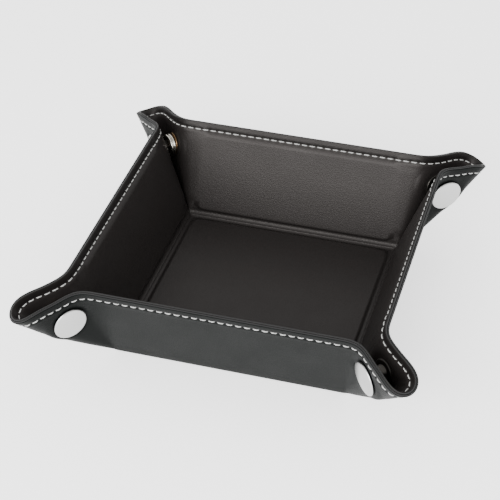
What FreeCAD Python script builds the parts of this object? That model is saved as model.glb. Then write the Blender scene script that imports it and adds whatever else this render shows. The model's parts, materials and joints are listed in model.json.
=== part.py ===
"""Folding dice tray: a square leather sheet with stiff boards inside, held up by a snap at each corner.

The tray is drawn the way it is cut, flat on the table, and then folded.
Flat, the floor's centre is the origin, the cover's outer face is z = 0 and the lining is on top.
Every fold turns about a line in the surface where the cover and the lining meet.
At a corner the leather leaves the end of one wall, bends outwards, and doubles back along the
diagonal to the next wall, so all of its fold lines run through the corner of the floor.
"""

import FreeCAD, Part
import math
import os
from FreeCAD import Placement, Rotation, Vector

# ---- Driving dimensions, in millimetres and degrees ----
FLOOR_SIDE = 105.0  # between opposite fold lines
WALL_HEIGHT = 47.5  # along the slope, so the flat sheet is 200 square
WALL_LEAN = 21.0  # outwards from upright
CORNER_RADIUS = 26.0  # of the sheet's outline

COVER_THICKNESS = 1.0
LINING_THICKNESS = 1.0
BOARD_THICKNESS = 0.7

FLOOR_BOARD_INSET = 4.5  # from the fold line to the board
WALL_BOARD_FOOT = 4.5  # from the fold line to a wall's board
WALL_BOARD_TOP = 7.0  # from the wall's free edge to its board
WALL_BOARD_END = 4.5  # from the corner of the floor to the end of a wall's board
BOARD_CORNER_RADIUS = 3.0

# Around a corner, directions are measured from the wall's end, and the diagonal is at 45.
BEND_START, BEND_END = 0.0, 20.0  # the leather bends away from the wall here
DOUBLING_START = 28.0  # and doubles back from here to the same distance past the diagonal
DIAGONAL = 45.0

SNAP_DISTANCE, SNAP_DIRECTION = 36.0, 25.5  # of the snap's centre from the corner of the floor
CAP_RADIUS, CAP_RIM, CAP_DOME = 7.65, 0.5, 1.0
POST_RADIUS, POST_HOLE_RADIUS = 1.4, 1.5
SNAP_RADIUS = 5.4  # of the socket and of the stud's flange
STUD_RADIUS, STUD_REACH = 2.6, 1.1  # the reach is past the diagonal plane
SOCKET_HOLE_RADIUS, SOCKET_HOLE_DEPTH = 2.8, 1.4

STITCH_PITCH, STITCH_LENGTH, STITCH_WIDTH, STITCH_HEIGHT = 3.8, 2.5, 0.6, 0.3
STITCH_INSET = 3.6  # from the free edge

CLEARANCE = 0.15  # each piece stops this far short of a fold line
MOVING_CLEARANCE = 0.6  # and this far where the fold line wanders as it closes
TRAVEL = 90.0 - WALL_LEAN  # a wall's turn from standing to flat

MEETING_HEIGHT = COVER_THICKNESS  # of the surface where cover and lining meet, when flat
LEATHER_TOP = COVER_THICKNESS + LINING_THICKNESS
CORNER = Vector(FLOOR_SIDE / 2, -FLOOR_SIDE / 2, MEETING_HEIGHT)  # front right corner of the floor
DIAGONAL_NORMAL = Vector(1, 1, 0).normalize()
FAR = 400.0  # longer than anything here
UP = Vector(0, 0, 1)

WALLS = ("front", "right", "back", "left")  # each a quarter turn from the one before


# ---- How the leather folds at the front wall's right-hand end ----
def flat_frame(direction):
    """Along the ray from the corner, across it towards the diagonal, and up, in the flat sheet."""
    turn = math.radians(direction)
    along = Vector(math.sin(turn), -math.cos(turn), 0)
    across = Vector(math.cos(turn), math.sin(turn), 0)
    return along, across, UP


def bump(x, start, end):
    """A smooth curvature between start and end that adds up to one."""
    share = min(max((x - start) / (end - start), 0.0), 1.0)
    return 30 * (share * (1 - share)) ** 2 / (end - start)


def folded_frame(direction, bend, doubling, steps=420):
    """The same three directions in the standing tray.

    bend is the whole outward bend beside the wall, and doubling the inward one up to the diagonal.
    """
    lean = math.radians(WALL_LEAN)
    along = Vector(0, -math.sin(lean), math.cos(lean))
    across = Vector(1, 0, 0)
    start = BEND_START
    turn_back = Rotation(along.cross(across), start)
    along, across = turn_back.multVec(along), turn_back.multVec(across)
    if direction <= start:
        extra = Rotation(along.cross(across), direction - start)
        return extra.multVec(along), extra.multVec(across), along.cross(across)
    step = (direction - start) / steps
    for i in range(steps):
        middle = start + (i + 0.5) * step
        curl = 2 * doubling * bump(middle, DOUBLING_START, 2 * DIAGONAL - DOUBLING_START)
        curl -= bend * bump(middle, BEND_START, BEND_END)
        spin = along.cross(across) + along * curl
        turn = Rotation(spin, step * spin.Length)
        along, across = turn.multVec(along), turn.multVec(across)
    return along, across, along.cross(across)


def closing_bends():
    """The bend and doubling that bring the diagonal fold into the diagonal plane, square to it."""

    def miss(bend, doubling):
        along, _, inwards = folded_frame(DIAGONAL, bend, doubling)
        return along.dot(DIAGONAL_NORMAL), inwards.dot(DIAGONAL_NORMAL)

    bend, doubling, nudge = 45.0, 80.0, 0.01
    for _ in range(8):
        a, b = miss(bend, doubling)
        a_bend, b_bend = ((v - w) / nudge for v, w in zip(miss(bend + nudge, doubling), (a, b)))
        a_doubling, b_doubling = ((v - w) / nudge for v, w in zip(miss(bend, doubling + nudge), (a, b)))
        scale = a_bend * b_doubling - a_doubling * b_bend
        bend -= (a * b_doubling - b * a_doubling) / scale
        doubling -= (b * a_bend - a * b_bend) / scale
    return bend, doubling


BEND, DOUBLING = closing_bends()


def placing(direction):
    """Moves a piece of the flat sheet with the leather at that direction of the corner."""
    rest = Rotation(*folded_frame(direction, BEND, DOUBLING), "XYZ")
    flat = Rotation(*flat_frame(direction), "XYZ")
    return Placement(Vector(), rest * flat.inverted(), CORNER)


WALL_PLACING = placing(BEND_START)
GUSSET_PLACING = placing((BEND_END + DOUBLING_START) / 2)
TIP_PLACING = placing(DIAGONAL)


def crossing(first, second):
    """Where two placed planes of leather meet, as a direction in each one's own flat sheet."""
    line = first.Rotation.multVec(UP).cross(second.Rotation.multVec(UP))
    if line.z < 0:
        line = -line
    in_each = [place.Rotation.inverted().multVec(line) for place in (first, second)]
    return [math.degrees(math.atan2(v.x, -v.y)) for v in in_each]


WALL_END, GUSSET_START = crossing(WALL_PLACING, GUSSET_PLACING)
GUSSET_END = sum(crossing(GUSSET_PLACING, TIP_PLACING)) / 2


# ---- Flat pieces ----
def placed(piece, placing_of_it):
    moved = piece.copy()
    moved.Placement = placing_of_it.multiply(moved.Placement)
    return moved


def slab(points, low, high):
    """A closed outline, extruded from one height to another."""
    corners = [Vector(x, y, low) for x, y in points]
    return Part.Face(Part.makePolygon(corners + corners[:1])).extrude(Vector(0, 0, high - low))


def rounded_slab(low_corner, high_corner, radius, low, high):
    (x0, y0), (x1, y1) = low_corner, high_corner
    box = Part.makeBox(x1 - x0, y1 - y0, high - low, Vector(x0, y0, low))
    upright = [e for e in box.Edges if abs(e.tangentAt(e.FirstParameter).z) > 0.9]
    return box.makeFillet(radius, upright)


def sheet(low, high):
    """The whole flat sheet."""
    half = FLOOR_SIDE / 2 + WALL_HEIGHT
    return rounded_slab((-half, -half), (half, half), CORNER_RADIUS, low, high)


def sector(start, start_gap, end, end_gap, low, high):
    """The flat sheet between two rays from the front right corner, kept off each ray by its gap."""
    start_along, start_across, _ = flat_frame(start)
    end_along, end_across, _ = flat_frame(end)
    angle = math.radians(end - start)
    distance = (end_gap + start_gap * math.cos(angle)) / math.sin(angle)
    apex = CORNER + start_along * distance + start_across * start_gap
    points = [apex, apex + start_along * FAR, apex + end_along * FAR]
    return slab([(p.x, p.y) for p in points], low, high).common(sheet(low, high))


def fold_gap(angle, thickness):
    """How far leather of a thickness inside a fold stays back from the fold line."""
    return thickness * math.tan(math.radians(angle) / 2) + CLEARANCE


def turn_between(first, second):
    """The turn about the corner that carries the second piece level with the first, in standing pose."""
    turn = first.Rotation * second.Rotation.inverted()
    axis, angle = turn.Axis, math.degrees(turn.Angle)
    return (axis, angle) if angle < 180 else (-axis, 360 - angle)


WALL_GAP = fold_gap(TRAVEL, LINING_THICKNESS)
GUSSET_AXIS, GUSSET_TRAVEL = turn_between(WALL_PLACING, GUSSET_PLACING)
TIP_AXIS, TIP_TRAVEL = turn_between(GUSSET_PLACING, TIP_PLACING)


# ---- Floor ----
def floor_square(inset, low, high, radius=0.0):
    half = FLOOR_SIDE / 2 - inset
    if radius:
        return rounded_slab((-half, -half), (half, half), radius, low, high)
    return slab([(-half, -half), (half, -half), (half, half), (-half, half)], low, high)


def over_board(plain, board, wrap):
    """A lining that lies on the cover, rises over a board and closes on it all round."""
    return plain.fuse(wrap).cut(board).removeSplitter()


def floor_pieces():
    board_top = COVER_THICKNESS + BOARD_THICKNESS
    board = floor_square(FLOOR_BOARD_INSET, COVER_THICKNESS, board_top, BOARD_CORNER_RADIUS)
    wrap = floor_square(
        FLOOR_BOARD_INSET - LINING_THICKNESS,
        COVER_THICKNESS,
        board_top + LINING_THICKNESS,
        BOARD_CORNER_RADIUS + LINING_THICKNESS,
    )
    plain = floor_square(WALL_GAP, COVER_THICKNESS, LEATHER_TOP)
    return {
        "floor_cover": floor_square(CLEARANCE, 0, COVER_THICKNESS),
        "floor_board": board,
        "floor_lining": over_board(plain, board, wrap),
    }


# ---- A wall, drawn as the front one ----
def wall_sheet(gap, end_gap, low, high):
    """The wall between the floor's fold line and the rays where its ends bend away."""
    half = FLOOR_SIDE / 2
    slope = math.tan(math.radians(WALL_END))
    back = end_gap / math.cos(math.radians(WALL_END))
    foot, top = gap, WALL_HEIGHT
    points = [
        (half + slope * foot - back, -half - foot),
        (half + slope * top - back, -half - top),
        (-half - slope * top + back, -half - top),
        (-half - slope * foot + back, -half - foot),
    ]
    return slab(points, low, high)


def wall_board(grow, low, high):
    half = FLOOR_SIDE / 2
    low_corner = (-half + WALL_BOARD_END - grow, -half - WALL_HEIGHT + WALL_BOARD_TOP - grow)
    high_corner = (half - WALL_BOARD_END + grow, -half - WALL_BOARD_FOOT + grow)
    return rounded_slab(low_corner, high_corner, BOARD_CORNER_RADIUS + grow, low, high)


def wall_thread():
    """Lockstitch along the free edge, seen as one row of stitches on each face."""
    across = FLOOR_SIDE / 2 + WALL_HEIGHT - STITCH_INSET
    count = int(FLOOR_SIDE / STITCH_PITCH)
    stitches = []
    for i in range(count):
        middle = (i - (count - 1) / 2) * STITCH_PITCH
        for low in (-STITCH_HEIGHT, LEATHER_TOP):
            corner = Vector(middle - STITCH_LENGTH / 2, -across - STITCH_WIDTH / 2, low)
            stitches.append(Part.makeBox(STITCH_LENGTH, STITCH_WIDTH, STITCH_HEIGHT, corner))
    return Part.makeCompound(stitches)


def wall_pieces():
    board_top = COVER_THICKNESS + BOARD_THICKNESS
    board = wall_board(0, COVER_THICKNESS, board_top)
    wrap = wall_board(LINING_THICKNESS, COVER_THICKNESS, board_top + LINING_THICKNESS)
    outside_bend = fold_gap(GUSSET_TRAVEL, COVER_THICKNESS)
    plain = wall_sheet(WALL_GAP, LINING_THICKNESS, COVER_THICKNESS, LEATHER_TOP)
    flat = {
        "cover": wall_sheet(CLEARANCE, outside_bend, 0, COVER_THICKNESS),
        "board": board,
        "lining": over_board(plain, board, wrap),
        "thread": wall_thread(),
    }
    return {name: placed(piece, WALL_PLACING) for name, piece in flat.items()}


# ---- The leather beside the front wall's right-hand end, and its half of the snap ----
def snap_point(height):
    """The snap's centre in the flat sheet, at a height."""
    along = flat_frame(SNAP_DIRECTION)[0]
    point = CORNER + along * SNAP_DISTANCE
    return Vector(point.x, point.y, height)


def near_side(piece, clearance):
    """What lies on this wall's side of the diagonal plane."""
    beyond = Part.makeBox(FAR, FAR, FAR, Vector(-FAR / 2, -FAR / 2, -clearance))
    beyond.Placement = Placement(CORNER, Rotation(UP, DIAGONAL_NORMAL)).multiply(beyond.Placement)
    return piece.cut(beyond)


def gusset_leather(low, high, wall_side_gap, tip_side_gap):
    hole = Part.makeCylinder(POST_HOLE_RADIUS, high - low, snap_point(low))
    piece = sector(GUSSET_START, wall_side_gap, GUSSET_END, tip_side_gap, low, high)
    return near_side(placed(piece.cut(hole), GUSSET_PLACING), MOVING_CLEARANCE)


def cap():
    """A domed cap on the cover, with the post that holds it through both layers."""
    ball_radius = (CAP_RADIUS**2 + CAP_DOME**2) / (2 * CAP_DOME)
    crown = -CAP_RIM - CAP_DOME
    ball = Part.makeSphere(ball_radius, Vector(0, 0, crown + ball_radius))
    dome = Part.makeCylinder(CAP_RADIUS, -crown, Vector(0, 0, crown)).common(ball)
    post = Part.makeCylinder(POST_RADIUS, LEATHER_TOP)
    piece = dome.fuse(post)
    piece.translate(snap_point(0))
    return placed(piece, GUSSET_PLACING)


def snap_half(is_stud):
    """A socket or a stud, square to the diagonal plane, with its foot on the lining."""
    on_lining = GUSSET_PLACING.multVec(snap_point(LEATHER_TOP))
    centre = on_lining - DIAGONAL_NORMAL * (on_lining - CORNER).dot(DIAGONAL_NORMAL)
    mating = centre - DIAGONAL_NORMAL * CLEARANCE
    reach = SNAP_RADIUS + SNAP_DISTANCE
    drum = Part.makeCylinder(SNAP_RADIUS, reach, mating, -DIAGONAL_NORMAL)
    inside = Part.makeBox(FAR, FAR, FAR, Vector(-FAR / 2, -FAR / 2, LEATHER_TOP))
    half = drum.common(placed(inside, GUSSET_PLACING))
    if is_stud:
        stud = Part.makeCylinder(STUD_RADIUS, STUD_REACH + CLEARANCE, mating, DIAGONAL_NORMAL)
        return half.fuse(stud).removeSplitter()
    hole = Part.makeCylinder(SOCKET_HOLE_RADIUS, SOCKET_HOLE_DEPTH, mating, -DIAGONAL_NORMAL)
    return half.cut(hole)


def end_pieces(is_stud):
    doubled = fold_gap(TIP_TRAVEL, LINING_THICKNESS)
    bent = fold_gap(GUSSET_TRAVEL, COVER_THICKNESS)
    tip = sector(GUSSET_END, doubled, DIAGONAL, MOVING_CLEARANCE, 0, LEATHER_TOP)
    return {
        "gusset_cover": gusset_leather(0, COVER_THICKNESS, bent, CLEARANCE),
        "gusset_lining": gusset_leather(COVER_THICKNESS, LEATHER_TOP, MOVING_CLEARANCE, doubled),
        "cap": cap(),
        "stud" if is_stud else "socket": snap_half(is_stud),
        "tip_leather": placed(tip, TIP_PLACING),
    }


# ---- The whole tray ----
def turned(piece, quarter_turns):
    copy = piece.copy()
    copy.rotate(Vector(), UP, 90 * quarter_turns)
    return copy


def assemble():
    nodes = floor_pieces()
    wall = wall_pieces()
    right_end = end_pieces(is_stud=False)
    left_end = {name: p.mirror(Vector(), Vector(1, 0, 0)) for name, p in end_pieces(True).items()}
    for i, name in enumerate(WALLS):
        for piece_name, piece in wall.items():
            nodes[f"{name}_wall_{piece_name}"] = turned(piece, i)
        for neighbour, end in ((WALLS[(i + 1) % 4], right_end), (WALLS[i - 1], left_end)):
            for piece_name, piece in end.items():
                nodes[f"{name}_wall_{neighbour}_{piece_name}"] = turned(piece, i)
    return nodes


def main():
    os.makedirs("parts", exist_ok=True)
    for name, shape in assemble().items():
        if not shape.isValid() or shape.Volume <= 0:
            raise RuntimeError(f"{name} is not a closed solid")
        shape.exportStep(f"parts/{name}.step")
        print(f"{name}: {len(shape.Solids)} solids, {shape.Volume:.1f} mm3")
    print("bend", BEND, "doubling", DOUBLING)
    for name, axis, travel in (("gusset", GUSSET_AXIS, GUSSET_TRAVEL), ("tip", TIP_AXIS, TIP_TRAVEL)):
        print("joint", name, axis.x, axis.y, axis.z, travel)
    print("rays", WALL_END, GUSSET_START, GUSSET_END)


main()
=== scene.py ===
"""The looks of a folding dice tray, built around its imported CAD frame.

Every piece of leather is described by where it lies in the flat sheet, in millimetres from the floor's
centre, with the front wall at negative y. One function, the leather's surface, says where a point of the
flat sheet goes in the standing tray, so pieces that meet in the sheet meet in the tray.
"""

import json
import math
import bpy
import numpy as np
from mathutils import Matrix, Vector


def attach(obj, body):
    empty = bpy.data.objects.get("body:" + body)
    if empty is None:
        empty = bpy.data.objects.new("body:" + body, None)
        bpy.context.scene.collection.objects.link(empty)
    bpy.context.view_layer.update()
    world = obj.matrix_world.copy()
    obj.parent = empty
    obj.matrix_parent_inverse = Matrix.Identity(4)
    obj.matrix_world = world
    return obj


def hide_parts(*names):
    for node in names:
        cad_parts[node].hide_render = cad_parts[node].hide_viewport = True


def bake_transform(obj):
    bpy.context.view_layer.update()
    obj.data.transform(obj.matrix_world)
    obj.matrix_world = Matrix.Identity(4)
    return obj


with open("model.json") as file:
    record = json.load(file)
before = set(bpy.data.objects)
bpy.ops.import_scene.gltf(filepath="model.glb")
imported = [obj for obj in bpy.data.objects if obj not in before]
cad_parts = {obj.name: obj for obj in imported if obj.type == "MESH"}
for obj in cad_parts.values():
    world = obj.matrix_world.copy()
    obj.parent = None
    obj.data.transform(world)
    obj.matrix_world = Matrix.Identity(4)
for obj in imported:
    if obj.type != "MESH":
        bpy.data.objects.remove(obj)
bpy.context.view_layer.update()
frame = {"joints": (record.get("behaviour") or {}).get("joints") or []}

MM = 0.001
WALLS = ("front", "right", "back", "left")
JOINTS = {joint["name"]: joint for joint in frame["joints"]}

# ---- Sizes, in millimetres and degrees ----
HALF_FLOOR = -JOINTS["front_wall_fold"]["pos_m"][1] / MM
MEETING_HEIGHT = JOINTS["front_wall_fold"]["pos_m"][2] / MM  # where cover and lining meet
WALL_LEAN = 90.0 - JOINTS["front_wall_fold"]["range_deg"][1]
WALL_HEIGHT = 47.5
HALF_SHEET = HALF_FLOOR + WALL_HEIGHT
CORNER_RADIUS = 26.0
BEND_START, BEND_END = 0.0, 20.0  # around a corner, from the wall's end
DOUBLING_START, DIAGONAL = 28.0, 45.0
COVER, LINING, BOARD = 1.0, 1.0, 0.7  # thicknesses
FLOOR_BOARD_INSET, WALL_BOARD_FOOT, WALL_BOARD_TOP, WALL_BOARD_END = 4.5, 4.5, 7.0, 4.5
BOARD_CORNER = 3.0
HINGE = 2.5  # half the width of the leather that bends between floor and wall
SOFTNESS = 1.1  # how far the leather rounds off a crease
APEX = 0.4  # the leather starts this far from the corner of the floor
EDGE_ROUND = 0.32
PLY_GAP = 0.03  # between cover and lining
SNAP_DISTANCE, SNAP_DIRECTION = 36.0, 25.5
CAP_RADIUS, SNAP_RADIUS = 7.65, 5.4
ROUND_STEPS = 56  # round a snap
SEAM_INSET = 3.6
STITCHES_PER_EIGHTH = 24
THREAD_RADIUS = 0.28
HOLE_DEPTH = 0.3  # how deep a stitch's ends go in
STITCH_SHARE = 0.72  # how much of its pitch a stitch covers
EAR_CURL = 3.0  # how far the tips of the corners curl up


# ---- The leather's surface ----
def unit(v):
    return v / np.linalg.norm(v)


def turned(v, axis, angle):
    cosine, sine = math.cos(angle), math.sin(angle)
    return v * cosine + np.cross(axis, v) * sine + axis * (axis @ v) * (1 - cosine)


def bump(x, start, end):
    """A smooth curvature between start and end that adds up to one."""
    share = np.clip((x - start) / (end - start), 0, 1)
    return 30 * (share * (1 - share)) ** 2 / (end - start)


def smooth(x, low, high):
    t = np.clip((x - low) / (high - low), 0, 1)
    return t * t * (3 - 2 * t)


ANGLES = np.linspace(-90, DIAGONAL, 541)


def corner_rays(bend, doubling):
    """Unit rays of the leather from the front right corner of the floor, for ANGLES."""
    lean = math.radians(WALL_LEAN)
    along, across = np.array([-1.0, 0, 0]), np.array([0, -math.sin(lean), math.cos(lean)])
    rays = [along]
    step = ANGLES[1] - ANGLES[0]
    middles = ANGLES[:-1] + step / 2
    curls = 2 * doubling * bump(middles, DOUBLING_START, 2 * DIAGONAL - DOUBLING_START)
    curls -= bend * bump(middles, BEND_START, BEND_END)
    for curl in curls:
        spin = np.cross(along, across) + along * curl
        angle, axis = math.radians(step * np.linalg.norm(spin)), unit(spin)
        along, across = turned(along, axis, angle), turned(across, axis, angle)
        rays.append(along)
    return np.array(rays), np.cross(along, across)


def closed_corner():
    """The rays whose last one lies in the diagonal plane, with the leather square to it."""
    square = unit(np.array([1.0, 1.0, 0.0]))

    def miss(values):
        rays, inwards = corner_rays(*values)
        return np.array([rays[-1] @ square, inwards @ square])

    values, nudge = np.array([44.0, 82.5]), 0.01  # a first guess, in degrees
    for _ in range(5):
        at = miss(values)
        slopes = np.stack([(miss(values + nudge * step) - at) / nudge for step in np.eye(2)], axis=1)
        values = values - np.linalg.solve(slopes, at)
    return corner_rays(*values)[0]


RAYS = closed_corner()
QUARTER_COSINES, QUARTER_SINES = np.array([1, 0, -1, 0]), np.array([0, 1, 0, -1])
GRID_STEP = 0.5
GRID_HALF = HALF_SHEET + 6.0  # the surface goes on past the sheet's edge, so that the edge is smooth


def to_eighth(x, y):
    """A point of the sheet moved into the front wall's right-hand eighth: (x, y, quarter turns, mirrored)."""
    turns = np.where(-y >= np.abs(x), 0, np.where(x >= np.abs(y), 1, np.where(y >= np.abs(x), 2, 3)))
    cosine, sine = QUARTER_COSINES[turns], QUARTER_SINES[turns]
    turned_x, turned_y = x * cosine + y * sine, y * cosine - x * sine
    return np.abs(turned_x), turned_y, turns, turned_x < 0


def from_eighth(points, turns, mirrored):
    """Points of the tray moved from the front wall's right-hand eighth back to their own."""
    x, y, z = np.moveaxis(points, -1, 0)
    x = np.where(mirrored, -x, x)
    cosine, sine = QUARTER_COSINES[turns], QUARTER_SINES[turns]
    return np.stack([x * cosine - y * sine, y * cosine + x * sine, z], axis=-1)


def around_corner(x, y):
    """Distance and direction of a point of the eighth from the front right corner of the floor."""
    out, down = x - HALF_FLOOR, -HALF_FLOOR - y
    return np.hypot(out, down), np.degrees(np.arctan2(out, down))


def creased(x, y):
    """Where the meeting surface of cover and lining goes, with every crease sharp."""
    ex, ey, turns, mirrored = to_eighth(x, y)
    distance, direction = around_corner(ex, ey)
    ray = np.stack([np.interp(direction, ANGLES, RAYS[:, i]) for i in range(3)], axis=-1)
    corner = np.array([HALF_FLOOR, -HALF_FLOOR, MEETING_HEIGHT])
    standing = corner + distance[..., None] * ray
    standing[..., 2] += EAR_CURL * smooth(distance, 34, 60) * smooth(direction, 20, 42)
    lying = np.stack([ex, ey, np.full_like(ex, MEETING_HEIGHT)], axis=-1)
    return from_eighth(np.where((ey > -HALF_FLOOR)[..., None], lying, standing), turns, mirrored)


def softened(field, spread):
    """A field on the grid, blurred by the given spread in millimetres."""
    rounds = int(round(2 * (spread / GRID_STEP) ** 2))
    for _ in range(rounds):
        for axis in (0, 1):
            before, after = np.roll(field, 1, axis), np.roll(field, -1, axis)
            field = (before + 2 * field + after) / 4
    return field


def flat_ray(direction):
    """Unit vectors of the flat sheet along and across a direction from the corner of the floor."""
    turn = math.radians(direction)
    return np.array([math.sin(turn), -math.cos(turn)]), np.array([math.cos(turn), math.sin(turn)])


def ray(direction):
    """The same direction in the standing leather."""
    return np.array([np.interp(direction, ANGLES, RAYS[:, i]) for i in range(3)])


def snap_frame():
    """The snap of the eighth: its centre, then along its ray, across it and out of the lining."""
    along = unit(ray(SNAP_DIRECTION))
    inwards = unit(np.cross(along, ray(SNAP_DIRECTION + 1) - ray(SNAP_DIRECTION - 1)))
    corner = np.array([HALF_FLOOR, -HALF_FLOOR, MEETING_HEIGHT])
    return corner + SNAP_DISTANCE * along, along, np.cross(inwards, along), inwards


SNAP_FLAT = np.array([HALF_FLOOR, -HALF_FLOOR]) + SNAP_DISTANCE * flat_ray(SNAP_DIRECTION)[0]
SNAP_CENTRE, SNAP_ALONG, SNAP_ACROSS, SNAP_INWARDS = snap_frame()


def snap_distance(x, y):
    """How far a point of the flat sheet is from the nearest snap's centre."""
    ex, ey, _, _ = to_eighth(x, y)
    return np.hypot(ex - SNAP_FLAT[0], ey - SNAP_FLAT[1])


def near_snap(x, y):
    """Where the snap clamps the leather flat, from 0 to 1."""
    return 1 - smooth(snap_distance(x, y), CAP_RADIUS - 1.0, CAP_RADIUS + 4.0)


def clamped(place, x, y):
    """Leather beside a snap lies in the snap's plane."""
    ex, ey, turns, mirrored = to_eighth(x, y)
    along, across = flat_ray(SNAP_DIRECTION)
    out_x, out_y = ex - SNAP_FLAT[0], ey - SNAP_FLAT[1]
    ahead, aside = out_x * along[0] + out_y * along[1], out_x * across[0] + out_y * across[1]
    plane = SNAP_CENTRE + ahead[..., None] * SNAP_ALONG + aside[..., None] * SNAP_ACROSS
    share = near_snap(x, y)[..., None]
    return place * (1 - share) + from_eighth(plane, turns, mirrored) * share


def make_surface():
    """Places and normals of the meeting surface, on a grid of the flat sheet."""
    line = np.arange(-GRID_HALF, GRID_HALF + GRID_STEP / 2, GRID_STEP)
    x, y = np.meshgrid(line, line, indexing="ij")
    place = clamped(softened(creased(x, y), SOFTNESS), x, y)
    along_x, along_y = np.gradient(place, GRID_STEP, axis=(0, 1))
    normal = np.cross(along_x, along_y)
    return place, normal / np.linalg.norm(normal, axis=-1, keepdims=True)


PLACES, NORMALS = make_surface()


def sample(field, x, y):
    """A field of that grid, between its points."""
    across, up = (x + GRID_HALF) / GRID_STEP, (y + GRID_HALF) / GRID_STEP
    i = np.clip(across.astype(int), 0, len(field) - 2)
    j = np.clip(up.astype(int), 0, len(field) - 2)
    a, b = (across - i)[..., None], (up - j)[..., None]
    low = field[i, j] * (1 - a) + field[i + 1, j] * a
    high = field[i, j + 1] * (1 - a) + field[i + 1, j + 1] * a
    return low * (1 - b) + high * b


def surface(x, y, height):
    """A point of the flat sheet, at a height above the meeting surface, in the standing tray."""
    normal = sample(NORMALS, x, y)
    normal /= np.linalg.norm(normal, axis=-1, keepdims=True)
    return sample(PLACES, x, y) + normal * height[..., None], normal


# ---- Relief of the two faces, in the flat sheet ----
def rounded_box_distance(x, y, half_x, half_y, radius):
    """How far outside a rounded rectangle about the origin a point is."""
    out_x, out_y = np.abs(x) - half_x + radius, np.abs(y) - half_y + radius
    outside = np.hypot(np.maximum(out_x, 0), np.maximum(out_y, 0))
    return outside + np.minimum(np.maximum(out_x, out_y), 0) - radius


def edge_distance(x, y):
    """How far inside the sheet's edge a point is."""
    return -rounded_box_distance(x, y, HALF_SHEET, HALF_SHEET, CORNER_RADIUS)


def seam_length(x, y):
    """How far along the seam a point lies from the middle of its wall, in stitches."""
    ex, ey, _, _ = to_eighth(x, y)
    straight = HALF_SHEET - CORNER_RADIUS
    turn = np.arctan2(np.maximum(ex - straight, 0), np.maximum(-ey - straight, 1e-6))
    length = np.minimum(ex, straight) + np.where(ex > straight, turn, 0) * (CORNER_RADIUS - SEAM_INSET)
    whole = straight + (CORNER_RADIUS - SEAM_INSET) * math.pi / 4
    return length / whole * STITCHES_PER_EIGHTH


def board_lift(x, y):
    """How much a board under the lining lifts it, from 0 to 1."""
    ex, ey, _, _ = to_eighth(x, y)
    half = HALF_FLOOR - FLOOR_BOARD_INSET
    floor = rounded_box_distance(ex, ey, half, half, BOARD_CORNER)
    tall = (WALL_HEIGHT - WALL_BOARD_FOOT - WALL_BOARD_TOP) / 2
    middle = -HALF_FLOOR - WALL_BOARD_FOOT - tall
    wall = rounded_box_distance(ex, ey - middle, HALF_FLOOR - WALL_BOARD_END, tall, BOARD_CORNER)
    down = -HALF_FLOOR - ey
    at_end = smooth(ex, HALF_FLOOR - WALL_BOARD_END - 3, HALF_FLOOR - WALL_BOARD_END + 2)
    wall_fade = 1.3 + (2.0 + 6.0 * at_end) * smooth(down, WALL_BOARD_FOOT - 1, WALL_BOARD_FOOT + 6)
    on_floor = 1 - smooth(floor, 0.0, 2.0)
    on_wall = 1 - smooth(wall / wall_fade, 0.0, 1.0)
    return np.maximum(on_floor, on_wall)


def hinge_relief(x, y):
    """The lining rises in a ridge along the fold between floor and wall, with a valley on either side."""
    down = np.maximum(np.abs(x), np.abs(y)) - HALF_FLOOR
    ridge = 0.35 * np.exp(-((down / 1.1) ** 2))
    valleys = 0.35 * np.exp(-(((down - 2.8) / 1.3) ** 2)) + 0.22 * np.exp(-(((down + 2.3) / 1.1) ** 2))
    along = np.minimum(np.abs(x), np.abs(y))
    return (ridge - valleys) * (1 - smooth(along, HALF_FLOOR - 2.5, HALF_FLOOR + 0.5))


def seam_dip(x, y):
    """How deep the stitches pull the leather in."""
    off = edge_distance(x, y) - SEAM_INSET
    pull = 0.75 + 0.25 * np.cos(2 * math.pi * seam_length(x, y))
    return 0.26 * pull * np.exp(-((off / 0.75) ** 2)) - 0.05 * np.exp(-(((np.abs(off) - 1.7) / 0.8) ** 2))


def rounding(x, y, radius):
    """How much a rounded rim takes off a face."""
    inside = np.clip(edge_distance(x, y), 0, radius)
    return radius - np.sqrt(np.maximum(radius**2 - (radius - inside) ** 2, 0))


def near_apex(x, y):
    """Leather that is pinched into the corner of the floor has no room for its whole thickness."""
    ex, ey, _, _ = to_eighth(x, y)
    distance, direction = around_corner(ex, ey)
    pinched = smooth(direction, BEND_START, DOUBLING_START)
    return 1 - pinched * (1 - smooth(distance, 1.0, 13.0)) * 0.85


def lining_top(x, y):
    ring = 0.3 * np.exp(-(((snap_distance(x, y) - SNAP_RADIUS - 0.4) / 1.2) ** 2))
    lift = BOARD * board_lift(x, y) + hinge_relief(x, y)
    return LINING * near_apex(x, y) + lift - seam_dip(x, y) - ring - rounding(x, y, EDGE_ROUND)


def lining_foot(x, y):
    return PLY_GAP / 2 + BOARD * board_lift(x, y) + rounding(x, y, EDGE_ROUND / 2)


def cover_top(x, y):
    return -PLY_GAP / 2 - rounding(x, y, EDGE_ROUND / 2)


def cover_foot(x, y):
    ring = 0.4 * np.exp(-(((snap_distance(x, y) - CAP_RADIUS) / 1.3) ** 2))
    return -COVER + seam_dip(x, y) + ring + rounding(x, y, EDGE_ROUND)


PLIES = {"lining": (lining_top, lining_foot), "cover": (cover_top, cover_foot)}


# ---- Pieces of leather ----
# The kinds of face that a piece has: broad faces, the sheet's painted rim, and joins with its neighbours.
FACE, RIM, JOIN = range(3)


def spaced(start, end, step):
    return np.linspace(start, end, max(int(math.ceil(abs(end - start) / step)), 1) + 1)


def joined_lines(*parts):
    """Grid lines in order, each of them once."""
    return np.unique(np.round(np.concatenate(parts), 4))


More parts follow.
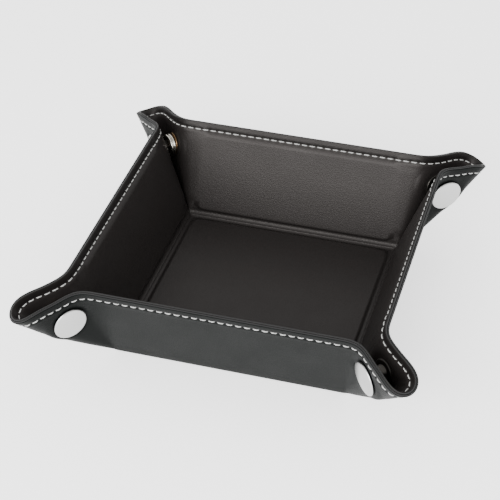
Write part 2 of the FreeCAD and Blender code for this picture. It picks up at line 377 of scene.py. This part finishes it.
def face_normals(height, x, y):
    """The true normal of a face of the leather, from points close round each one."""
    near = 0.12
    ahead, _ = surface(x + near, y, height(x + near, y))
    behind, _ = surface(x - near, y, height(x - near, y))
    above, _ = surface(x, y + near, height(x, y + near))
    below, _ = surface(x, y - near, height(x, y - near))
    normal = np.cross(ahead - behind, above - below)
    normal /= np.maximum(np.linalg.norm(normal, axis=-1, keepdims=True), 1e-9)
    return np.where((edge_distance(x, y) > 1.0)[..., None], normal, 0.0)


def new_object(name, places, faces, *materials):
    """An object in the scene, its places in millimetres."""
    mesh = bpy.data.meshes.new(name)
    mesh.from_pydata((np.asarray(places) * MM).tolist(), [], faces)
    for material in materials:
        mesh.materials.append(material)
    obj = bpy.data.objects.new(name, mesh)
    bpy.context.scene.collection.objects.link(obj)
    return obj


def smooth_object(name, places, faces, material):
    obj = new_object(name, places, faces, material)
    obj.data.polygons.foreach_set("use_smooth", [True] * len(faces))
    return obj


def grid_solid(x, y, to_edge):
    """The faces of a closed solid over a grid, upper places before lower ones, and the kind of each."""
    count = x.size
    index = np.arange(count).reshape(x.shape)
    left_handed = (x[1, 0] - x[0, 0]) * (y[0, 1] - y[0, 0]) < (y[1, 0] - y[0, 0]) * (x[0, 1] - x[0, 0])
    quads = np.stack([index[:-1, :-1], index[1:, :-1], index[1:, 1:], index[:-1, 1:]], -1).reshape(-1, 4)
    if left_handed:
        quads = quads[:, ::-1]
    faces, kinds = [quads, quads[:, ::-1] + count], [np.full(2 * len(quads), FACE)]
    sides = ((index[0], JOIN), (index[-1][::-1], JOIN), (index[:, 0][::-1], JOIN))
    sides += ((index[:, -1], RIM if to_edge else JOIN),)
    for line, kind in sides:
        strip = np.stack([line[:-1], line[1:], line[1:] + count, line[:-1] + count], -1)
        faces.append(strip if left_handed else strip[:, ::-1])
        kinds.append(np.full(len(strip), kind))
    return np.concatenate(faces), np.concatenate(kinds)


def leather_piece(name, x, y, ply, to_edge=False):
    """One ply over a grid of the flat sheet. With to_edge, the grid's last column is the sheet's edge."""
    top, foot = PLIES[ply]
    upper, _ = surface(x, y, top(x, y))
    lower, _ = surface(x, y, foot(x, y))
    faces, kinds = grid_solid(x, y, to_edge)
    places = np.concatenate([upper.reshape(-1, 3), lower.reshape(-1, 3)])
    obj = new_object(name, places, faces.tolist(), LEATHERS[ply], EDGE_PAINT)
    mesh = obj.data
    mesh.polygons.foreach_set("use_smooth", kinds != JOIN)
    mesh.polygons.foreach_set("material_index", (kinds == RIM).astype(int))
    flat = np.concatenate([np.stack([x, y], -1).reshape(-1, 2)] * 2)
    seam = np.stack([seam_length(flat[:, 0], flat[:, 1]), edge_distance(flat[:, 0], flat[:, 1])], -1)
    for layer, values in (("flat", flat / 100), ("seam", seam)):
        mesh.uv_layers.new(name=layer).data.foreach_set("uv", values[faces].astype(np.float32).ravel())
    normals = np.concatenate(
        [face_normals(top, x, y).reshape(-1, 3), -face_normals(foot, x, y).reshape(-1, 3)]
    )[faces]
    normals[kinds != FACE] = 0
    mesh.normals_split_custom_set(normals.reshape(-1, 3).tolist())
    obj["flat_area"] = float(sheet_area(x, y))
    return obj, flat


def sheet_area(x, y):
    """The flat area of a grid, in square metres."""
    ax, ay = x[1:, 1:] - x[:-1, :-1], y[1:, 1:] - y[:-1, :-1]
    bx, by = x[1:, :-1] - x[:-1, 1:], y[1:, :-1] - y[:-1, 1:]
    return np.abs(ax * by - ay * bx).sum() / 2 * MM**2


def bend_between(obj):
    """Bake the object's placing into its mesh. The leather here turns with the angle round the corner, which
    no straight line between two points says; this step adds no such bend.
    """
    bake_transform(obj)


def turned_flat(x, y, turns, mirrored):
    """A grid of the front wall's right-hand eighth, moved to another wall or its other end."""
    if mirrored:
        x = -x
    cosine, sine = QUARTER_COSINES[turns], QUARTER_SINES[turns]
    return x * cosine - y * sine, y * cosine + x * sine


# Grid lines in from the sheet's edge: close together over the rounded rim, and again over the seam.
EDGE_LINES = np.array(
    [0, 0.05, 0.12, 0.22, 0.34, 0.7, 1.3, 1.9, 2.4, 2.8, 3.1, 3.35, 3.6, 3.85, 4.1, 4.4, 4.8, 5.4, 6.2]
)


def floor_lines():
    """Grid lines across the floor, close together where the lining climbs onto the board."""
    board = HALF_FLOOR - FLOOR_BOARD_INSET
    outer = joined_lines(spaced(board - 1, HALF_FLOOR - HINGE, 0.22), spaced(0, board - 1, 5.0))
    return joined_lines(-outer, outer)


def wall_columns():
    board = HALF_FLOOR - WALL_BOARD_END
    outer = joined_lines(spaced(0, board - 4, 0.995), spaced(board - 4, HALF_FLOOR, 0.4))
    return joined_lines(-outer, outer)


def wall_rows():
    """Distances down from the fold line to the free edge."""
    foot, top = WALL_BOARD_FOOT, WALL_HEIGHT - WALL_BOARD_TOP
    return joined_lines(
        spaced(HINGE, foot + 1, 0.25),
        spaced(foot + 1, top - 3, 3.0),
        spaced(top - 3, top + 0.9, 0.3),
        WALL_HEIGHT - EDGE_LINES,
    )


def make_floor():
    line = floor_lines()
    x, y = np.meshgrid(line, line, indexing="ij")
    for ply in PLIES:
        obj, _ = leather_piece(f"floor_{ply}_leather", x, y, ply)
        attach(obj, "floor")
        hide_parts(f"floor_{ply}")


def make_wall(turns, name):
    columns = wall_columns()
    x, down = np.meshgrid(columns, wall_rows(), indexing="ij")
    wall_x, wall_y = turned_flat(x, -HALF_FLOOR - down, turns, False)
    lines = joined_lines(spaced(-HINGE, HINGE, 0.25))
    share, down = np.meshgrid(columns / HALF_FLOOR, lines, indexing="ij")
    half_length = HALF_FLOOR + np.minimum(down, 0)
    hinge_x, hinge_y = turned_flat(share * half_length, -HALF_FLOOR - down, turns, False)
    for ply in PLIES:
        obj, _ = leather_piece(f"{name}_wall_{ply}_leather", wall_x, wall_y, ply, to_edge=True)
        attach(obj, f"{name}_wall")
        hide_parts(f"{name}_wall_{ply}")
        obj, flat = leather_piece(f"{name}_hinge_{ply}_leather", hinge_x, hinge_y, ply)
        bend_between(obj)


def reach(direction):
    """From the corner of the floor to the sheet's edge."""
    turn = np.radians(direction)
    straight = WALL_HEIGHT / np.cos(turn)
    centre = WALL_HEIGHT - CORNER_RADIUS
    beside = centre * (np.sin(turn) + np.cos(turn))
    rounded = beside + np.sqrt(np.maximum(beside**2 - 2 * centre**2 + CORNER_RADIUS**2, 0))
    return np.where(straight * np.sin(turn) > centre, rounded, straight)


def ear_grid(start, end, step):
    """A grid of the leather between two directions from the corner of the floor."""
    directions = spaced(start, end, step)
    length = 50  # about the reach, so that shares of it near the edge are distances from the edge
    shares = joined_lines(
        1 - EDGE_LINES / length, spaced(0.42, 0.88, 0.02), spaced(APEX / length, 0.42, 0.03)
    )
    direction, share = np.meshgrid(directions, shares, indexing="ij")
    far = reach(direction)
    from_edge = far - (1 - share) * length
    from_apex = APEX + (far - APEX) * (share - shares[0]) / (1 - shares[0])
    near_edge = smooth(share, 0.6, 0.87)
    distance = from_apex * (1 - near_edge) + from_edge * near_edge
    turn = np.radians(direction)
    return HALF_FLOOR + distance * np.sin(turn), -HALF_FLOOR - distance * np.cos(turn)


def make_ear(turns, mirrored, wall, neighbour):
    """The leather beside one end of a wall, in three lengths: it bends, stays flat, and doubles back."""
    prefix = f"{wall}_wall_{neighbour}"
    gusset, tip = f"{prefix}_gusset", f"{prefix}_tip"
    for ply in PLIES:
        x, y = turned_flat(*ear_grid(0.0, BEND_END, 0.8), turns, mirrored)
        obj, flat = leather_piece(f"{prefix}_bend_{ply}_leather", x, y, ply, to_edge=True)
        bend_between(obj)

        x, y = turned_flat(*ear_grid(BEND_END, DOUBLING_START, 0.8), turns, mirrored)
        obj, flat = leather_piece(f"{gusset}_{ply}_leather", x, y, ply, to_edge=True)
        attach(obj, gusset)
        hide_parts(f"{gusset}_{ply}")

        x, y = turned_flat(*ear_grid(DOUBLING_START, DIAGONAL, 0.6), turns, mirrored)
        obj, flat = leather_piece(f"{prefix}_fold_{ply}_leather", x, y, ply, to_edge=True)
        bend_between(obj)
        if ply == "cover":
            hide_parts(f"{tip}_leather")
    make_snap(turns, mirrored, prefix)


# ---- Stitches ----
def seam_point(along):
    """The eighth's seam in the flat sheet, at a length in stitches from the wall's middle."""
    straight, radius = HALF_SHEET - CORNER_RADIUS, CORNER_RADIUS - SEAM_INSET
    pitch = (straight + radius * math.pi / 4) / STITCHES_PER_EIGHTH
    length = along * pitch
    turn = np.maximum(length - straight, 0) / radius
    return np.minimum(length, straight) + radius * np.sin(turn), -straight - radius * np.cos(turn), turn


def stitch_mesh(numbers, turns, mirrored, ply):
    """Twisted thread over each numbered stitch, diving into its needle holes: places, faces, flat places."""
    ring, rings = 10, 13  # points round the thread, and rings along it
    t = np.linspace(0, 1, rings)
    hump = np.sin(math.pi * np.clip(t, 0.002, 0.998)) ** 0.22  # level, with steep ends
    along = np.asarray(numbers)[:, None] + 0.5 + (t - 0.5) * STITCH_SHARE
    x, y, turn = seam_point(along)
    side_x, side_y = -np.sin(turn), np.cos(turn)
    if mirrored:
        side_x = -side_x
    side_x, side_y = turned_flat(side_x, side_y, turns, False)
    x, y = turned_flat(x, y, turns, mirrored)
    outwards = 1 if ply == "lining" else -1
    face = PLIES[ply][0 if ply == "lining" else 1](x, y)
    base, normal = surface(x, y, face + outwards * (hump * (THREAD_RADIUS * 0.55 + HOLE_DEPTH) - HOLE_DEPTH))
    beside, _ = surface(x + side_x * 0.2, y + side_y * 0.2, face)
    side = beside - surface(x, y, face)[0]
    side -= (side * normal).sum(-1, keepdims=True) * normal
    side /= np.linalg.norm(side, axis=-1, keepdims=True)
    angle = np.linspace(0, 2 * math.pi, ring, endpoint=False)
    twist = 1 + 0.16 * np.cos(2 * (angle[None, :] - 2 * math.pi * 0.9 * t[:, None]))
    radius = THREAD_RADIUS * np.minimum(1, 0.55 + 1.2 * np.minimum(t, 1 - t) / 0.3)[:, None] * twist
    out = np.cos(angle)[None, None, :, None] * side[:, :, None, :] * radius[None, :, :, None]
    up = np.sin(angle)[None, None, :, None] * normal[:, :, None, :] * radius[None, :, :, None] * 0.9
    places = base[:, :, None, :] + out + up
    index = np.arange(places.shape[0] * rings * ring).reshape(places.shape[0], rings, ring)
    beyond = np.roll(index, -1, axis=2)
    quads = np.stack([index[:, :-1], beyond[:, :-1], beyond[:, 1:], index[:, 1:]], -1).reshape(-1, 4)
    if (np.cross(side[0, 6], normal[0, 6]) @ (base[0, 7] - base[0, 5])) < 0:
        quads = quads[:, ::-1]
    ends = [list(loop) for loop in index[:, 0]] + [list(loop[::-1]) for loop in index[:, -1]]
    flat = np.repeat(np.stack([x, y], -1)[:, :, None, :], ring, axis=2)
    return places.reshape(-1, 3), quads.tolist() + ends, flat.reshape(-1, 2)


def add_stitches(name, sides):
    """One object of thread over (numbers, turns, mirrored) sets of stitches, on both faces."""
    places, faces, flats, start = [], [], [], 0
    for numbers, turns, mirrored in sides:
        for ply in PLIES:
            new_places, new_faces, flat = stitch_mesh(numbers, turns, mirrored, ply)
            places.append(new_places)
            flats.append(flat)
            faces += [[i + start for i in face] for face in new_faces]
            start += len(new_places)
    obj = smooth_object(name, np.concatenate(places), faces, THREAD)
    return obj, np.concatenate(flats)


def make_stitches(turns, wall):
    """The stitches of a wall's free edge, and of the leather round the corner at each end of it."""
    numbers = np.arange(STITCHES_PER_EIGHTH)
    x, y, _ = seam_point(numbers + 0.5)
    direction = around_corner(x, y)[1]
    straight = numbers[direction < 0]
    obj, _ = add_stitches(f"{wall}_wall_stitches", [(straight, turns, False), (straight, turns, True)])
    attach(obj, f"{wall}_wall")
    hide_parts(f"{wall}_wall_thread")
    for mirrored, neighbour in ((False, WALLS[(turns + 1) % 4]), (True, WALLS[turns - 1])):
        prefix = f"{wall}_wall_{neighbour}"
        within = {
            "bend": numbers[(direction >= 0) & (direction < BEND_END)],
            "gusset": numbers[(direction >= BEND_END) & (direction < DOUBLING_START)],
            "fold": numbers[direction >= DOUBLING_START],
        }
        for part, chosen in within.items():
            obj, flat = add_stitches(f"{prefix}_{part}_stitches", [(chosen, turns, mirrored)])
            if part == "bend":
                bend_between(obj)
            elif part == "gusset":
                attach(obj, f"{prefix}_gusset")
            else:
                bend_between(obj)


# ---- Snaps ----
def spokes_round(axis):
    """ROUND_STEPS unit vectors at right angles to an axis, all the way round."""
    side = unit(np.cross(axis, [0.3, 0.2, 1.0]))
    other = np.cross(axis, side)
    angle = np.linspace(0, 2 * math.pi, ROUND_STEPS, endpoint=False)
    return np.cos(angle)[:, None] * side + np.sin(angle)[:, None] * other


def revolved(name, profile, centre, axis, material):
    """A closed solid turned about an axis. The profile is (radius, height) pairs, from pole to pole."""
    axis = unit(axis)
    spokes = spokes_round(axis)
    places, faces = [centre + axis * profile[0][1]], []
    for radius, height in profile[1:-1]:
        places += list(centre + axis * height + radius * spokes)
    places.append(centre + axis * profile[-1][1])
    starts = 1 + ROUND_STEPS * np.arange(len(profile) - 2)
    for i in range(ROUND_STEPS):
        j = (i + 1) % ROUND_STEPS
        faces.append([0, 1 + j, 1 + i])
        faces += [[low + i, low + j, high + j, high + i] for low, high in zip(starts[:-1], starts[1:])]
        faces.append([len(places) - 1, starts[-1] + i, starts[-1] + j])
    obj = smooth_object(name, places, faces, material)
    obj.data.set_sharp_from_angle(angle=math.radians(50))
    return obj


def ring_piece(name, section, centre, axis, material):
    """A closed ring about an axis, from its cross-section of (radius, height) pairs."""
    axis = unit(axis)
    spokes = spokes_round(axis)
    places = np.concatenate([centre + axis * height + radius * spokes for radius, height in section])
    faces, count = [], len(section)
    for k in range(count):
        for i in range(ROUND_STEPS):
            j, low, high = (i + 1) % ROUND_STEPS, k * ROUND_STEPS, (k + 1) % count * ROUND_STEPS
            faces.append([low + i, low + j, high + j, high + i])
    return smooth_object(name, places, faces, material)


def rolled_edge(radius, low, high, steps=7):
    """A profile's half-round outer edge between two heights."""
    middle, half = (low + high) / 2, (high - low) / 2
    turns = np.linspace(-math.pi / 2, math.pi / 2, steps)
    return [(radius - half + half * math.cos(a), middle + half * math.sin(a)) for a in turns]


def cap_profile():
    """From inside the leather out over the dome."""
    rim = [(CAP_RADIUS - 0.55, -0.1), (CAP_RADIUS - 0.12, 0.02), (CAP_RADIUS, 0.22)]
    rim += [(CAP_RADIUS - 0.02, 0.42), (CAP_RADIUS - 0.14, 0.62), (CAP_RADIUS - 0.38, 0.78)]
    rim.append((CAP_RADIUS - 0.72, 0.87))
    dome = [(r, 1.32 - 0.45 * (r / (CAP_RADIUS - 0.72)) ** 2) for r in (6.2, 5.2, 4.0, 2.6, 1.2)]
    return [(0, -0.1)] + rim + dome + [(0, 1.32)]


def make_snap(turns, mirrored, prefix):
    """A cap outside, and inside a flange with a stud or a socket that is square to the diagonal plane."""
    def moved(vector):
        return from_eighth(np.array(vector)[None], np.array([turns]), np.array([mirrored]))[0]

    corner = moved([HALF_FLOOR, -HALF_FLOOR, MEETING_HEIGHT])
    centre, inwards = moved(SNAP_CENTRE), moved(SNAP_INWARDS)
    square = moved(unit(np.array([1.0, 1.0, 0.0])))
    cap = revolved(f"{prefix}_cap_shell", cap_profile(), centre - inwards * COVER, -inwards, CAP_METAL)
    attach(cap, f"{prefix}_gusset")
    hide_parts(f"{prefix}_cap")
    seat = centre + inwards * LINING
    depth = (corner - seat) @ square
    top = depth - 0.05
    flange = [(0, -0.4)] + rolled_edge(SNAP_RADIUS, -0.2, 0.6) + [(SNAP_RADIUS - 1.3, 0.66), (0, 0.66)]
    # On the stud's half, the flange and the post are painted near black: painted shade of the pocket they sit
    # in.
    pieces = [revolved(f"{prefix}_flange", flange, seat, inwards, STUD_PAINTED_SHADE_METAL if mirrored else SNAP_BRASS)]
    if mirrored:
        stud = [(0, 0.0), (3.3, 0.1), (3.2, 0.9), (2.55, top - 0.1), (2.5, top + 0.2), (2.65, top + 0.7)]
        stud += [(2.35, top + 1.0), (0, top + 1.05)]
        pieces.append(revolved(f"{prefix}_stud_post", stud, seat, square, STUD_PAINTED_SHADE_METAL))
        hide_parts(f"{prefix}_stud")
    else:
        drum = [(0, 0.0), (SNAP_RADIUS - 1.0, 0.1), (SNAP_RADIUS - 0.8, top - 0.5)]
        drum += [(SNAP_RADIUS - 1.2, top - 0.2), (2.9, top - 0.2), (2.85, top - 1.1), (0, top - 1.15)]
        pieces.append(revolved(f"{prefix}_socket_drum", drum, seat, square, SNAP_BRASS))
        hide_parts(f"{prefix}_socket")
        lip = rolled_edge(SNAP_RADIUS, top - 2.7, top - 1.45) + rolled_edge(SNAP_RADIUS, top - 1.25, top)
        lip.append((SNAP_RADIUS - 1.4, top - 0.02))
        pieces.append(ring_piece(f"{prefix}_socket_lip", lip, seat, square, SNAP_METAL))
    for obj in pieces:
        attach(obj, f"{prefix}_gusset")


# ---- Materials ----
def new_material(name):
    material = bpy.data.materials.new(name)
    material.use_nodes = True
    return material, material.node_tree.nodes["Principled BSDF"]


def leather_material(name, colour, sheen, roughness, shine, edge_darkening, grain):
    """Fine-grained leather, its grain laid out in the flat sheet.

    sheen is the colour of its reflections, shine how strong they are, edge_darkening how much of the colour
    is left within 2.4 mm of the cut edge, fading back to the full colour by 3.4 mm, and grain how deep the
    grain is.
    """
    material, shader = new_material(name)
    nodes, links = material.node_tree.nodes, material.node_tree.links
    shader.inputs["Base Color"].default_value = (*colour, 1)
    shader.inputs["Specular IOR Level"].default_value = shine
    shader.inputs["Specular Tint"].default_value = (*sheen, 1)
    inset = nodes.new("ShaderNodeUVMap")
    inset.uv_map = "seam"
    apart = nodes.new("ShaderNodeSeparateXYZ")
    links.new(inset.outputs["UV"], apart.inputs["Vector"])
    # The face is darker from the cut edge to 2.4 mm in, fading out by 3.4 mm.
    edge_band = nodes.new("ShaderNodeMapRange")
    edge_band.inputs["From Min"].default_value, edge_band.inputs["From Max"].default_value = 2.4, 3.4
    links.new(apart.outputs["Y"], edge_band.inputs["Value"])
    tint = nodes.new("ShaderNodeMix")
    tint.data_type = "RGBA"
    tint.inputs["A"].default_value = (*(edge_darkening * part for part in colour), 1)
    tint.inputs["B"].default_value = (*colour, 1)
    links.new(edge_band.outputs["Result"], tint.inputs["Factor"])
    links.new(tint.outputs["Result"], shader.inputs["Base Color"])
    where = nodes.new("ShaderNodeUVMap")
    where.uv_map = "flat"
    wander = nodes.new("ShaderNodeTexNoise")
    wander.inputs["Scale"].default_value = 60
    wander.inputs["Detail"].default_value = 2
    links.new(where.outputs["UV"], wander.inputs["Vector"])
    shift = nodes.new("ShaderNodeVectorMath")
    shift.operation = "MULTIPLY_ADD"
    shift.inputs[1].default_value = (0.008, 0.008, 0)
    links.new(wander.outputs["Color"], shift.inputs[0])
    links.new(where.outputs["UV"], shift.inputs[2])
    pebbles = nodes.new("ShaderNodeTexVoronoi")
    pebbles.feature = "DISTANCE_TO_EDGE"
    pebbles.inputs["Scale"].default_value = 105
    links.new(shift.outputs["Vector"], pebbles.inputs["Vector"])
    level = nodes.new("ShaderNodeMapRange")
    level.inputs["From Max"].default_value = 0.22
    links.new(pebbles.outputs["Distance"], level.inputs["Value"])
    bump_node = nodes.new("ShaderNodeBump")
    bump_node.inputs["Strength"].default_value = grain
    bump_node.inputs["Distance"].default_value = 0.00008
    links.new(level.outputs["Result"], bump_node.inputs["Height"])
    links.new(bump_node.outputs["Normal"], shader.inputs["Normal"])
    cloud = nodes.new("ShaderNodeTexNoise")
    cloud.inputs["Scale"].default_value = 6
    cloud.inputs["Detail"].default_value = 3
    links.new(where.outputs["UV"], cloud.inputs["Vector"])
    polish = nodes.new("ShaderNodeMapRange")
    polish.inputs["From Min"].default_value, polish.inputs["From Max"].default_value = 0.3, 0.7
    polish.inputs["To Min"].default_value = roughness - 0.03
    polish.inputs["To Max"].default_value = roughness + 0.03
    links.new(cloud.outputs["Fac"], polish.inputs["Value"])
    links.new(polish.outputs["Result"], shader.inputs["Roughness"])
    return material


def plain_material(name, colour, roughness, metallic=0.0):
    material, shader = new_material(name)
    shader.inputs["Base Color"].default_value = (*colour, 1)
    shader.inputs["Roughness"].default_value = roughness
    shader.inputs["Metallic"].default_value = metallic
    return material


LEATHERS = {
    "cover": leather_material(
        "cover leather", colour=(0.0025, 0.003, 0.0028), sheen=(0.95, 1.0, 0.98),
        roughness=0.45, shine=0.055, edge_darkening=0.8, grain=0.4,
    ),
    "lining": leather_material(
        "lining leather", colour=(0.0124, 0.0108, 0.0103), sheen=(1.0, 0.95, 0.92),
        roughness=0.42, shine=0.2, edge_darkening=0.45, grain=0.3,
    ),
}
EDGE_PAINT = plain_material("edge paint", (0.006, 0.006, 0.006), 0.55)
THREAD = plain_material("thread", (0.36, 0.36, 0.35), 0.65)
CAP_METAL = plain_material("cap steel", (0.48, 0.48, 0.475), 0.3, 1.0)
SNAP_METAL = plain_material("snap nickel", (0.6, 0.58, 0.52), 0.25, 1.0)
# The stud's half is nickel, but this colour is near black: painted shade of the pocket between the leathers.
STUD_PAINTED_SHADE_METAL = plain_material("snap stud painted shade", (0.05, 0.047, 0.043), 0.4, 1.0)
SNAP_BRASS = plain_material("snap brass", (0.2, 0.125, 0.065), 0.35, 1.0)


def make_camera():
    azimuth, elevation = math.radians(15.83), math.radians(37.17)
    side = 2 * HALF_FLOOR * MM
    target, distance = Vector((-0.089, 0.401, 0.0)) * side, 7.345 * side
    level = math.cos(elevation)
    back = Vector((math.sin(azimuth) * level, -math.cos(azimuth) * level, math.sin(elevation)))
    camera = bpy.data.objects.new("camera", bpy.data.cameras.new("camera"))
    bpy.context.scene.collection.objects.link(camera)
    camera.location = target + back * distance
    camera.rotation_euler = back.to_track_quat("Z", "Y").to_euler()
    camera.data.sensor_width = 36
    camera.data.lens = camera.data.sensor_width * 3.186
    camera.data.shift_x, camera.data.shift_y = -0.035, -0.0148
    camera.data.clip_end = 20
    bpy.context.scene.camera = camera


def add_softbox(name, place, width, height, power):
    lamp = bpy.data.objects.new(name, bpy.data.lights.new(name, "AREA"))
    lamp.data.shape, lamp.data.size, lamp.data.size_y = "RECTANGLE", width, height
    lamp.data.energy = power
    lamp.location = Vector(place)
    lamp.rotation_euler = (lamp.location - Vector((0, 0, 0.03))).to_track_quat("Z", "Y").to_euler()
    bpy.context.scene.collection.objects.link(lamp)


def make_studio():
    floor_mesh = bpy.data.meshes.new("table")
    floor_mesh.from_pydata([(-3, -3, 0), (3, -3, 0), (3, 3, 0), (-3, 3, 0)], [], [(0, 1, 2, 3)])
    floor = bpy.data.objects.new("table", floor_mesh)
    bpy.context.scene.collection.objects.link(floor)
    material, shader = new_material("pale table")
    shader.inputs["Base Color"].default_value = (0.9, 0.9, 0.9, 1)
    shader.inputs["Roughness"].default_value = 0.9
    shader.inputs["Emission Color"].default_value = (1, 1, 1, 1)
    shader.inputs["Emission Strength"].default_value = 1.4
    floor_mesh.materials.append(material)
    world = bpy.data.worlds.new("studio")
    bpy.context.scene.world = world
    world.use_nodes = True
    world.node_tree.nodes["Background"].inputs["Color"].default_value = (1, 1, 1, 1)
    world.node_tree.nodes["Background"].inputs["Strength"].default_value = 1.5
    add_softbox("front softbox", (-0.35, -1.6, 0.75), 1.8, 1.0, 68)


make_floor()
for turns, wall in enumerate(WALLS):
    make_wall(turns, wall)
    make_stitches(turns, wall)
    make_ear(turns, False, wall, WALLS[(turns + 1) % 4])
    make_ear(turns, True, wall, WALLS[turns - 1])
make_camera()
make_studio()
